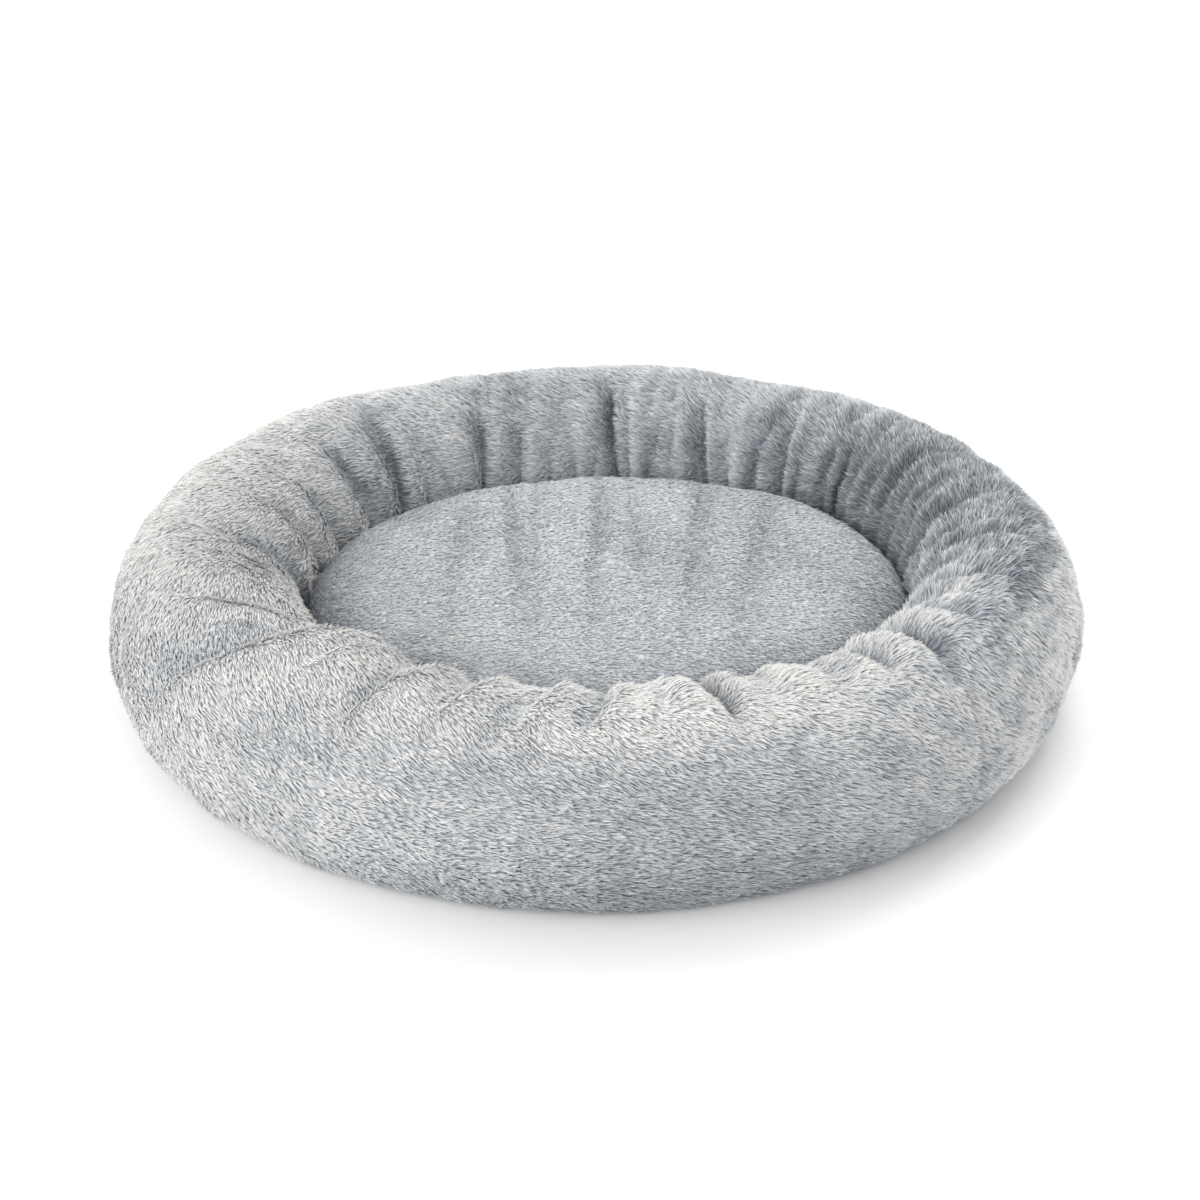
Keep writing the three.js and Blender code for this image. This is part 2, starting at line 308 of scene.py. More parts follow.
def grained_material(name, grain, dark, light, relief, roughness, stretch=(1, 1, 1), **constants):
    """Between two colours by one noise. grain is its scale, detail and distortion; dark and light
    are ramp stops; relief is the strength and depth of its bump."""
    n = Nodes(name)
    field = n.noise(n.place(stretch), *grain)
    colour = n.ramp(field, dark, light)
    if relief:
        n.bump(field, *relief)
    return n.finish(colour, roughness, **constants)


# ---- meshes
def make_piece(name, points, quads, materials, triangles=None):
    """A mesh object from arrays of points, four-sided faces and three-sided faces."""
    mesh = bpy.data.meshes.new(name)
    faces = [np.asarray(quads, np.int32).reshape(-1, 4)]
    if triangles is not None:
        faces.append(np.asarray(triangles, np.int32).reshape(-1, 3))
    loops = np.concatenate([f.ravel() for f in faces])
    sizes = np.concatenate([np.full(len(f), f.shape[1], np.int32) for f in faces])
    mesh.vertices.add(len(points))
    mesh.vertices.foreach_set("co", np.asarray(points, np.float32).ravel())
    mesh.loops.add(len(loops))
    mesh.loops.foreach_set("vertex_index", loops)
    mesh.polygons.add(len(sizes))
    mesh.polygons.foreach_set("loop_start", (np.cumsum(sizes) - sizes).astype(np.int32))
    mesh.polygons.foreach_set("use_smooth", np.ones(len(sizes), bool))
    mesh.update(calc_edges=True)
    mesh.validate()
    for material in materials:
        mesh.materials.append(material)
    return add_object(name, mesh)


def set_attribute(piece, name, values):
    """Gives each point of a mesh a value or a vector."""
    kind, field = ("FLOAT", "value") if np.ndim(values) == 1 else ("FLOAT_VECTOR", "vector")
    layer = piece.data.attributes.new(name, kind, "POINT")
    layer.data.foreach_set(field, np.asarray(values, np.float32).ravel())


def ring_quads(count, across, closed):
    """Faces of a grid of count columns, whose rows close on themselves."""
    columns = np.arange(count if closed else count - 1)
    rows = np.arange(across)
    i, j = np.meshgrid(columns, rows, indexing="ij")
    here, on = i * across, ((i + 1) % count) * across
    up = (j + 1) % across
    return np.stack([here + j, on + j, on + up, here + up], -1).reshape(-1, 4)


def spindle_faces(columns, rows):
    """Faces of rings that run from one middle out and back to another, and the fans in both."""
    index = np.arange(columns * rows).reshape(columns, rows)
    on = np.roll(index, -1, 0)
    quads = np.stack([index[:, :-1], index[:, 1:], on[:, 1:], on[:, :-1]], -1).reshape(-1, 4)
    middle = np.full(columns, columns * rows)
    fans = [np.stack([index[:, 0], on[:, 0], middle], -1),
            np.stack([on[:, -1], index[:, -1], middle + 1], -1)]
    return quads, np.concatenate(fans)


def with_middles(grid):
    """The points of rings, with the middle of the first ring and of the last one after them."""
    return np.concatenate([grid.reshape(-1, 3), [grid[:, 0].mean(0), grid[:, -1].mean(0)]])


def spindle(name, grid, material):
    quads, fans = spindle_faces(*grid.shape[:2])
    return make_piece(name, with_middles(grid), quads, [material], fans)


def between_skins(name, front, back, material):
    """A closed piece between two grids of one shape. Its front's columns run to the right."""
    size = front[..., 0].size
    index = np.arange(size).reshape(front.shape[:2])
    quads = np.stack([index[:-1, :-1], index[1:, :-1], index[1:, 1:], index[:-1, 1:]], -1)
    quads = quads.reshape(-1, 4)
    edge = np.concatenate([index[:-1, 0], index[-1, :-1], index[:0:-1, -1], index[0, :0:-1]])
    on = np.roll(edge, -1)
    rim = np.stack([on, edge, edge + size, on + size], -1)
    faces = np.concatenate([quads, quads[:, ::-1] + size, rim])
    points = np.concatenate([front.reshape(-1, 3), back.reshape(-1, 3)])
    return make_piece(name, points, faces, [material])


def unit(vectors):
    return vectors / np.linalg.norm(vectors, axis=-1, keepdims=True)


def smooth_step(low, high, value):
    share = np.clip((value - low) / (high - low), 0, 1)
    return share * share * (3 - 2 * share)


def window(angle, *degrees):
    """1 between the middle two of four angles in degrees, easing to 0 at the outer two."""
    rise, full, fall, end = np.radians(degrees)
    return smooth_step(rise, full, angle) * (1 - smooth_step(fall, end, angle))


def once_round(count):
    """Evenly spaced angles that go round once."""
    return np.linspace(0, 2 * math.pi, count, endpoint=False)


def blur(field, cells, axis):
    """A box blur run twice along one axis of a grid."""
    for _ in range(2):
        total = np.zeros_like(field)
        for step in range(-cells, cells + 1):
            total += np.roll(field, step, axis)
        field = total / (2 * cells + 1)
    return field


# ---- cloth simulation
def blow_up(points, quads, triangles, pressure, slack, cap, held, loose):
    """Where cloth laid on these points settles when it is inflated.

    slack is how much longer than its start the cloth is, where loose is 1. Points that are
    held stay put, and no point moves further than the cap.
    """
    pad = make_piece("inflated_cloth", points, quads, [], triangles)
    modifier = pad.modifiers.new("Cloth", "CLOTH")
    cloth = modifier.settings
    cloth.quality = 4
    cloth.mass = 0.02
    cloth.tension_stiffness = 15
    cloth.compression_stiffness = 15
    cloth.shear_stiffness = 5
    cloth.bending_stiffness = 0.3
    cloth.use_pressure = True
    cloth.uniform_pressure_force = pressure
    cloth.effector_weights.gravity = 0
    pins = pad.vertex_groups.new(name="pins")
    pins.add([int(point) for point in np.flatnonzero(held)], 1, "REPLACE")
    cloth.vertex_group_mass = "pins"
    tight = pad.vertex_groups.new(name="tight")
    for point in np.flatnonzero(loose < 1):
        tight.add([int(point)], float(1 - loose[point]), "REPLACE")
    cloth.vertex_group_shrink = "tight"
    cloth.shrink_min = -slack
    modifier.point_cache.frame_start = 1
    modifier.point_cache.frame_end = SETTLE_FRAMES
    for step in range(1, SETTLE_FRAMES + 1):
        bpy.context.scene.frame_set(step)
    settled = pad.evaluated_get(bpy.context.evaluated_depsgraph_get()).data
    found = np.empty(len(settled.vertices) * 3, np.float32)
    settled.vertices.foreach_get("co", found)
    bpy.context.scene.frame_set(1)
    bpy.data.objects.remove(pad)
    moved = found.reshape(-1, 3) - points
    length = np.linalg.norm(moved, axis=-1, keepdims=True)
    return points + moved * np.minimum(1, cap / np.maximum(length, 1e-9))


# ---- the bolster's shape
def oval(turn, across):
    """A plan position. across runs from -1 on the well's edge to 1 on the outer edge."""
    share = (across + 1) / 2
    inner_x = WELL_X + WELL[0] * np.cos(turn)
    inner_y = WELL[1] * np.sin(turn)
    x = inner_x + share * (OUTER[0] * np.cos(turn) - inner_x)
    y = inner_y + share * (OUTER[1] * np.sin(turn) - inner_y)
    return x, y


def resting_height(offset):
    """How low the cover may hang: onto the floor's layers, and past the binding to the ground."""
    past = smooth_step(BINDING[1] + 0.3 * MM, BINDING[1] + 2 * MM, offset)
    return COVER_FLOOR + 0.5 * MM + past * (1.2 * MM - COVER_FLOOR)


def bolster_base(turn, roll, inset):
    """The plain bolster: an ellipse in section, flat where it rests. It is drawn in by an inset,
    which is less underneath and where it lies against the cushion."""
    half = WIDTH / 2
    pressed = inset * (0.3 + 0.7 * smooth_step(-0.95, -0.35, np.sin(roll)))
    pressed = pressed * (1 - 0.7 * smooth_step(0.3, 0.9, -np.cos(roll)))
    offset = (half - pressed) * np.cos(roll)
    x, y = oval(turn, offset / half)
    floor = resting_height(offset)
    lift = BELLY + (CREST - BELLY - pressed) * np.sin(roll) - floor
    softness = 4 * MM
    z = floor + (lift + np.sqrt(lift ** 2 + softness ** 2)) / 2
    return np.stack([x, y, z], -1)


# Each gather fold runs from the foot of the well's wall towards the crest or over it:
# (turn at its foot, turn at its end, depth in mm, half-width in mm, roll where it ends),
# with the angles in degrees
BACK_FOLDS = [
    (135, 131, 11, 8, 98), (128, 126, 5, 8, 122), (122, 124, 6, 8, 122), (118.5, 119, 8, 6.5, 142),
    (116.5, 110.5, 12, 8, 104), (107, 104, 9, 11, 110), (101, 99.5, 7, 7, 128),
    (95, 95, 4, 7, 125), (91.5, 91, 4, 6.5, 130), (86.5, 87.5, 12, 6.5, 92), (83, 84.5, 7, 6.5, 98),
    (75, 76, 6, 9.5, 118), (66, 71.5, 11, 7, 100), (62, 64, 9, 8, 112), (56, 57.5, 5, 7, 124),
    (49.5, 53.5, 10, 7, 97), (44, 46, 6, 6.5, 118), (40, 43, 9, 6.5, 102),
]
RIGHT_FOLDS = [
    (36.5, 39.5, 9, 6.5, 100), (33, 35, 8, 6.5, 97), (28, 30, 7, 6.5, 98), (22.5, 25, 8, 7, 92),
    (17, 20, 8, 7, 92), (10, 14, 7, 8, 96), (3, 7, 9, 7, 84), (-4, -1, 7, 7, 92),
    (-11, -7, 10, 8, 66), (-18, -13, 8, 7, 78), (-25, -20, 11, 8, 54), (-33, -30, 7, 7, 88),
    (-41, -45, 13, 10, 52),
]
FRONT_FOLDS = [
    (-50, -54, 6, 11, 62), (-59, -60, 5, 11, 70), (-68, -70, 5, 10, 72), (-79, -74.5, 14, 8, 50),
    (-90, -93, 7, 10, 60), (-98, -102, 5, 10, 66), (-108, -112, 7, 11, 58), (-117, -122, 13, 12, 48),
    (-127, -132, 6, 10, 76),
]
LEFT_FOLDS = [
    (-132, -163, 9, 14, 58), (-176, -170, 7, 17, 88), (173, 181, 12, 16, 98),
    (163, 166, 9, 13, 100), (154, 155, 9, 12, 104), (144, 142, 10, 12, 100),
]
GATHER_FOLDS = BACK_FOLDS + RIGHT_FOLDS + FRONT_FOLDS + LEFT_FOLDS
FOOT_ROLL = math.radians(195)


def wrapped(angle):
    return (angle + math.pi) % (2 * math.pi) - math.pi


def fold_relief(turn, roll, metres_per_turn):
    """Furrows along the gather folds, most of them steeper on one side, between low swells."""
    relief = np.zeros_like(turn)
    for foot, end, depth, half_width, reach in GATHER_FOLDS:
        end_roll = math.radians(reach)
        along = np.clip((FOOT_ROLL - roll) / (FOOT_ROLL - end_roll), -0.6, 1.2)
        line = math.radians(foot) + math.radians(end - foot) * along
        side = wrapped(turn - line) * metres_per_turn / (half_width * MM)
        away = np.abs(side) * (1 - 0.55 * math.sin(math.radians(foot + 45)) * np.tanh(2 * side))
        fade = smooth_step(end_roll - 0.12, end_roll + 0.75, roll)
        furrow = -np.exp(-away ** 1.5)
        swell = 0.34 * np.exp(-((away - 2.3) / 1.3) ** 2)
        relief += depth * MM * fade * (furrow + swell)
    return relief


def lap_relief(turn, roll, metres_per_turn):
    """The front's fullness, which laps over the left end of the well in one slanting fold."""
    along = np.clip((math.radians(113) - roll) / math.radians(89), -0.3, 1.2)
    line = math.radians(-138) - math.radians(11) * np.sign(along) * np.abs(along) ** 1.6
    side = wrapped(turn - line) * metres_per_turn
    fade = window(roll, 14, 62, 140, 185)
    hollow = (19 * MM * (1 - smooth_step(-10 * MM, 10 * MM, side))
              * np.exp(np.minimum(side, 0) / (30 * MM)))
    fullness = 8 * MM * np.exp(-((side - 24 * MM) / (24 * MM)) ** 2)
    return fade * (fullness - hollow)


def lump_relief(turn, roll):
    """Uneven filling: a few long swells and many short ones, from a fixed seed."""
    rng = np.random.default_rng(11)
    relief = np.zeros_like(turn)
    for waves in (2, 3, 5, 7, 9, 13, 17, 23, 31):
        height = 3.4 * MM / waves ** 0.45
        over = rng.integers(-2, 3)
        phase = rng.uniform(0, 2 * math.pi)
        relief += height * rng.uniform(0.4, 1) * np.cos(waves * turn + over * roll + phase)
    return relief * smooth_step(-1.0, 0.3, np.sin(roll))


def pucker_relief(turn, roll):
    """Small even gathers where the cover is sewn down at the foot of the well's wall."""
    fade = window(roll, 170, 205, 225, 250)
    return 3 * MM * fade * np.cos(96 * turn + 3 * np.cos(5 * turn))


def wrinkle_relief(turn, roll, metres_per_turn):
    """Short fine wrinkles in the gathered cloth of the well's wall, from a fixed seed."""
    rng = np.random.default_rng(23)
    relief = np.zeros_like(turn)
    for _ in range(110):
        middle, slant = math.radians(rng.normal(60, 75)), rng.uniform(-0.07, 0.07)
        centre, reach = math.radians(rng.uniform(95, 185)), math.radians(rng.uniform(14, 38))
        side = wrapped(turn - middle - slant * (roll - centre)) * metres_per_turn
        width = rng.uniform(3.5, 6) * MM
        fade = np.exp(-((roll - centre) / reach) ** 2)
        relief -= rng.uniform(1.2, 3.6) * MM * fade * np.exp(-(side / width) ** 2)
    return relief


def seam_relief(turn, metres_per_turn):
    relief = np.zeros_like(turn)
    for seam in SEAM_TURNS:
        away = np.abs(wrapped(turn - seam)) * metres_per_turn / (5 * MM)
        relief -= 4 * MM * np.exp(-away)
    return relief


def tuft_relief(shape, seed):
    """Fine relief of the pile, longer along the nap than across it."""
    field = np.random.default_rng(seed).standard_normal(shape)
    field = blur(blur(field, 2, 0), 1, 1)
    return field / field.std()


ZIP_LOW, ZIP_HIGH = node_box("zip_tape_lower")[0], node_box("zip_tape_upper")[1]
GROOVE_DEPTH = 4.5 * MM


def zip_groove(points):
    """How far the cover is drawn in to make room for the zip, at points of the bolster."""
    middle = (ZIP_LOW[2] + ZIP_HIGH[2]) / 2
    half_tall = (ZIP_HIGH[2] - ZIP_LOW[2]) / 2
    tall = 1 - smooth_step(half_tall - 1 * MM, half_tall + 3 * MM, np.abs(points[..., 2] - middle))
    wide = 1 - smooth_step(ZIP_HIGH[0] - 3 * MM, ZIP_HIGH[0] + 5 * MM, np.abs(points[..., 0]))
    at_back = points[..., 1] > OUTER[1] / 2
    return tall * wide * at_back * GROOVE_DEPTH


def grid_normals(points):
    """Outward normals of a closed grid, and its directions round the bed and over it."""
    along = np.roll(points, -1, 0) - np.roll(points, 1, 0)
    over = np.roll(points, -1, 1) - np.roll(points, 1, 1)
    return unit(np.cross(along, over)), unit(along), unit(over)


def doubled(field):
    """A grid that closes on itself both ways, with smooth points put in between its own."""
    for axis in (0, 1):
        ahead, behind = np.roll(field, -1, axis), np.roll(field, 1, axis)
        middle = (9 * (field + ahead) - behind - np.roll(field, -2, axis)) / 16
        pairs = np.stack([field, middle], axis + 1)
        shape = list(field.shape)
        shape[axis] *= 2
        field = pairs.reshape(shape)
    return field


def deepest(depth, around, across):
    """The greatest depth near each point of a grid."""
    for axis, reach in ((0, around), (1, across)):
        steps = range(-reach, reach + 1)
        depth = np.max([np.roll(depth, step, axis) for step in steps], 0)
    return depth


class Bolster:
    """The bolster's skin as a grid, with what the pile and the inner layers need to know."""

    def __init__(self):
        turn, roll, metres = self.angles(AROUND // 2, ACROSS // 2)
        self.plain = bolster_base(turn, roll, PILE)
        self.plain_normal, _, _ = grid_normals(self.plain)
        relief = lump_relief(turn, roll) + pucker_relief(turn, roll)
        relief += fold_relief(turn, roll, metres) + lap_relief(turn, roll, metres)
        settled = self.inflate(self.plain + self.plain_normal * relief[..., None], roll)
        self.depth = ((self.plain - settled) * self.plain_normal).sum(-1)
        self.points = doubled(settled)
        self.depths = np.clip(doubled(self.depth), 0, None)
        self.add_detail()

    @staticmethod
    def inflate(start, roll):
        """Where the cover settles, with its overall swelling taken out again."""
        around, across = roll.shape
        floor = resting_height(WIDTH / 2 * np.cos(roll))
        start[..., 2] = np.maximum(start[..., 2], floor)
        loose = window(roll, 60, 105, 200, 240)
        held = start[..., 2] < floor + 5 * MM
        settled = blow_up(start.reshape(-1, 3), ring_quads(around, across, True), None, pressure=6,
                          slack=0.06, cap=11 * MM, held=held.ravel(), loose=loose.ravel())
        moved = settled.reshape(start.shape) - start
        settled = start + blur(moved, 1, 0) - blur(moved, around // 16, 0)
        settled[..., 2] = np.maximum(settled[..., 2], floor)
        return settled

    def add_detail(self):
        """The seams, the wrinkles, the zip's groove and the pile's relief, and then directions."""
        self.turn, self.roll, metres = self.angles(*self.points.shape[:2])
        self.groove = zip_groove(bolster_base(self.turn, self.roll, PILE))
        normal, _, _ = grid_normals(self.points)
        detail = seam_relief(self.turn, metres) + 0.5 * MM * tuft_relief(self.turn.shape, 5)
        wrinkles = wrinkle_relief(self.turn, self.roll, metres)
        # the wrinkles count 1.6 times in the depths, which paint shade in them and thin the pile there
        self.depths -= 1.6 * wrinkles
        detail += wrinkles
        self.points += normal * (detail - self.groove)[..., None]
        floor = resting_height(WIDTH / 2 * np.cos(self.roll))
        self.points[..., 2] = np.maximum(self.points[..., 2], floor)
        self.normal, self.along, self.over = grid_normals(self.points)
        step = np.linalg.norm(np.roll(self.points, 1, 1) - self.points, axis=-1)
        arc = np.cumsum(step.mean(0))
        self.flow = np.stack([self.turn * metres.mean(), arc + 0 * self.turn, 0 * self.turn], -1)

    @staticmethod
    def angles(around, across):
        """Grids of the turn and the roll, and the length of one radian of turn."""
        turn, roll = np.meshgrid(once_round(around), BOTTOM + once_round(across), indexing="ij")
        base = bolster_base(turn, roll, PILE)
        ahead = np.linalg.norm(np.roll(base, -1, 0) - base, axis=-1)
        return turn, roll, ahead * around / (2 * math.pi)

    def layer(self, name, clearance, material):
        """A closed ring of cloth or stuffing, clear of the skin all over."""
        depth = deepest(np.clip(self.depth, -4 * MM, None), 3, 3) + clearance
        points = self.plain - self.plain_normal * depth[..., None]
        groove = zip_groove(self.plain)
        points -= self.plain_normal * (deepest(groove, 4, 3) * 1.6)[..., None]
        around, across = points.shape[:2]
        return make_piece(name, points.reshape(-1, 3), ring_quads(around, across, True), [material])


def near_turn(turn, middle, spread):
    """1 at a turn, falling to 0 away from it. Both are in degrees."""
    return np.exp(-(wrapped(turn - math.radians(middle)) / math.radians(spread)) ** 2)


def bolster_painted_shade_and_mottle(bolster):
    """How light the pile is painted, from 0 to 1: painted shade, least at the right and in the fold
    creases, with the pile's own uneven patches.
    """
    turn = bolster.turn
    inner, outer, under = (smooth_step(math.radians(none), math.radians(full), bolster.roll)
                           for none, full in ((68, 112), (80, 40), (20, -40)))
    crest = 1 - inner - outer
    patches, ruffles = (clumps(bolster.points.reshape(-1, 3), per_metre).reshape(turn.shape)
                        for per_metre in (23, 66))
    # painted shade: darker on the well's walls (most on the right one), on the right and back crest,
    # on the front's outer side and low down
    shade = 1 - inner * (0.35 * near_turn(turn, 94, 44) + 0.90 * near_turn(turn, 17, 36))
    shade -= crest * (0.92 * near_turn(turn, -3, 42) + 0.26 * near_turn(turn, 90, 50))
    shade -= outer * 0.40 * near_turn(turn, -82, 42)
    shade -= 0.26 * under * near_turn(turn, -84, 60)
    # the patches and the ruffles are the pile's own uneven tone; the line between them paints light on
    # the front crest
    shade += patches * (0.05 + 0.17 * near_turn(turn, 0, 48))
    shade += 0.12 * crest * near_turn(turn, -95, 40)
    shade += 0.24 * ruffles * near_turn(turn, -8, 44)
    # painted shade: darker in the fold creases and wrinkles, by their depth
    painted_furrow_shade = blur(np.clip(bolster.depths / (13 * MM), 0, 1), 2, 0)
    return np.clip(shade - 0.52 * painted_furrow_shade, 0, 1)


def half_ring(name, bolster, start, material):
    """The half of the bolster's skin that begins at a turn, closed by a face at each end."""
    around = len(bolster.points)
    first = int(round(start / (2 * math.pi) * around))
    columns = np.arange(first, first + around // 2 + 1) % around
    piece = spindle(name, np.swapaxes(bolster.points[columns], 0, 1), material)
    # the shade attribute paints shade on the cover's ground
    shade = bolster_painted_shade_and_mottle(bolster)[columns].T
    set_attribute(piece, "shade", np.append(shade, [1, 1]))
    flow = np.swapaxes(bolster.flow[columns], 0, 1).reshape(-1, 3)
    set_attribute(piece, "flow", np.concatenate([flow, flow[[0, -1]]]))
    return piece


# ---- the pile
# The five points of a strand, from its root to its tip: how far along it each is, how far the
# strand leans there in degrees, and its radius there as a share of STRAND_RADIUS
SHARES = np.array([0, 0.25, 0.5, 0.75, 1.0])
LEANS = np.array([56, 68, 75, 80, 84])
TAPER = np.array([1.1, 1.15, 1.0, 0.7, 0.2])


def between(field, i, j, u, v):
    """A grid's values at places between its points."""
    columns, across = field.shape[:2]
    i1, j1 = (i + 1) % columns, (j + 1) % across
    u, v = (u, v) if field.ndim == 2 else (u[:, None], v[:, None])
    low = field[i, j] * (1 - u) + field[i1, j] * u
    high = field[i, j1] * (1 - u) + field[i1, j1] * u
    return low * (1 - v) + high * v


def flattened(vectors, normal):
    """Unit vectors that lie in the surface with that normal."""
    return unit(vectors - normal * (vectors * normal).sum(-1, keepdims=True))


class Patch:
    """A surface for pile to grow on: grids of its points, normals, nap directions and tones, which
    hold painted shade and the pile's own uneven tone.
    """

    def __init__(self, points, normal, nap, tone, weight, seed):
        self.rng = np.random.default_rng(seed)
        cell = np.cross(np.roll(points, -1, 0) - points, np.roll(points, -1, 1) - points)
        share = (np.linalg.norm(cell, axis=-1) * weight).ravel()
        count = int(TUFTS_PER_AREA * share.sum())
        picked = self.rng.choice(len(share), count, p=share / share.sum())
        i, j = np.unravel_index(picked, weight.shape)
        place = (i, j, self.rng.uniform(0, 1, count), self.rng.uniform(0, 1, count))
        self.root = between(points, *place)
        self.normal = unit(between(normal, *place))
        self.nap = flattened(between(nap, *place), self.normal)
        self.tone = between(tone, *place)

    def strands(self, length, spread):
        """Tufts of strands, each leaning from its root's normal towards its nap."""
        rng, count = self.rng, len(self.root)
        raised = 8 * clumps(self.root, 21) + rng.normal(0, 5, count)
        lean = np.radians(LEANS - np.abs(raised[:, None]))
        step = length / (len(SHARES) - 1) * rng.uniform(0.75, 1.2, count)[:, None]
        rise = np.cumsum(np.cos(lean) * step, 1) - np.cos(lean[:, :1]) * step
        run = np.cumsum(np.sin(lean) * step, 1) - np.sin(lean[:, :1]) * step
        side = np.cross(self.normal, self.nap)
        turn = 0.17 * clumps(self.root, 34) + rng.normal(0, 0.09, count)
        heading = self.nap * np.cos(turn)[:, None] + side * np.sin(turn)[:, None]
        body = self.normal[:, None] * rise[..., None] + heading[:, None] * run[..., None]
        angle = rng.uniform(0, 2 * math.pi, (count, STRANDS_PER_TUFT))
        reach = spread * np.sqrt(rng.uniform(0, 1, (count, STRANDS_PER_TUFT)))
        shift = (heading[:, None] * (1.6 * reach * np.cos(angle))[..., None]
                 + side[:, None] * (reach * np.sin(angle))[..., None])
        gather = 1 - 0.6 * SHARES ** 1.2
        stretch = rng.uniform(0.72, 1.08, (count, STRANDS_PER_TUFT))
        strands = (self.root[:, None, None] + body[:, None] * stretch[..., None, None]
                   + shift[:, :, None] * gather[None, None, :, None])
        stray = rng.normal(0, 0.3 * MM, (count, STRANDS_PER_TUFT, 1, 3))
        strands += stray * SHARES[:, None]
        strands[..., 2] = np.maximum(strands[..., 2], 0.5 * MM)
        return strands

    def grow(self, cover, length, spread, material):
        """Gives a cover its pile, which moves with it."""
        rng, count = self.rng, len(self.root)
        total = count * STRANDS_PER_TUFT
        data = bpy.data.hair_curves.new(cover.name + "_pile")
        data.add_curves([len(SHARES)] * total)
        strands = self.strands(length, spread).astype(np.float32)
        data.points.foreach_set("position", strands.ravel())
        radii = np.tile(TAPER * STRAND_RADIUS, total).astype(np.float32)
        data.points.foreach_set("radius", radii)
        ruffle = (0.06 + 0.24 * (1 - self.tone)) * rng.normal(0, 1, count)
        # each strand's tone: the painted shade of its place, with random differences between tufts and
        # strands
        tones = np.repeat(self.tone + ruffle, STRANDS_PER_TUFT)
        tones = np.clip(tones + rng.normal(0, 0.08, total), 0, 1)
        layer = data.attributes.new("tone", "FLOAT", "CURVE")
        layer.data.foreach_set("value", tones.astype(np.float32))
        data.materials.append(material)
        add_object(cover.name + "_pile", data).parent = cover


def clumps(points, per_metre):
    """A smooth wandering value between -1 and 1 over points in space."""
    rng = np.random.default_rng(per_metre)
    total = np.zeros(len(points))
    for _ in range(7):
        direction = rng.normal(0, 1, 3)
        direction *= per_metre * rng.uniform(0.5, 1.6) / np.linalg.norm(direction)
        total += np.sin(points @ direction * 2 * math.pi + rng.uniform(0, 2 * math.pi))
    return np.clip(total / 2.6, -1, 1)


def bolster_patch(bolster, start, seed):
    """The cover's half from one seam. The nap runs round the bed and down its outside."""
    half = (bolster.turn - start) % (2 * math.pi) < math.pi
    clear = smooth_step(-0.86, -0.76, np.sin(bolster.roll))
    groove = 1 - np.clip(bolster.groove / (1.5 * MM), 0, 1)
    groove *= 1 - 0.4 * smooth_step(8 * MM, 14 * MM, bolster.depths)
    # how far the nap turns from along the bed towards the outer side's foot, by the roll
    swirl = np.interp(bolster.roll, np.radians([-50, -10, 30, 75, 110, 180]),
                      np.radians([-30, -14, 8, 38, 24, 0]))
    swirl += math.radians(62) * near_turn(bolster.turn, -25, 32) * (bolster.roll < math.radians(80))
    swirl += 0.14 * np.sin(5 * bolster.turn + 1) * np.cos(2 * bolster.roll)
    nap = (bolster.along * np.cos(swirl)[..., None] - bolster.over * np.sin(swirl)[..., None])
    # the strands' tone is the painted shade, with the pile's own patches
    shade = bolster_painted_shade_and_mottle(bolster)
    return Patch(bolster.points, bolster.normal, nap, shade, half * clear * groove, seed)


# ---- the centre cushion
# Soft creases over the cushion: (distance along the bed from its middle, slant, half-width in mm,
# depth in mm), where the slant is how far it leans along the bed for each metre to the back
CREASES = [
    (-0.145, 0.10, 9, 2.4), (-0.085, -0.08, 8, 3.8), (-0.066, -0.02, 5, 2.4), (-0.012, 0.05, 9, 3.4),
    (0.030, -0.05, 6, 1.8), (0.078, 0.12, 8, 3.2), (0.135, 0.22, 10, 2.8),
]
FLAT_SIZE = 0.97    # the pillow's size before it is inflated, as a share of its room


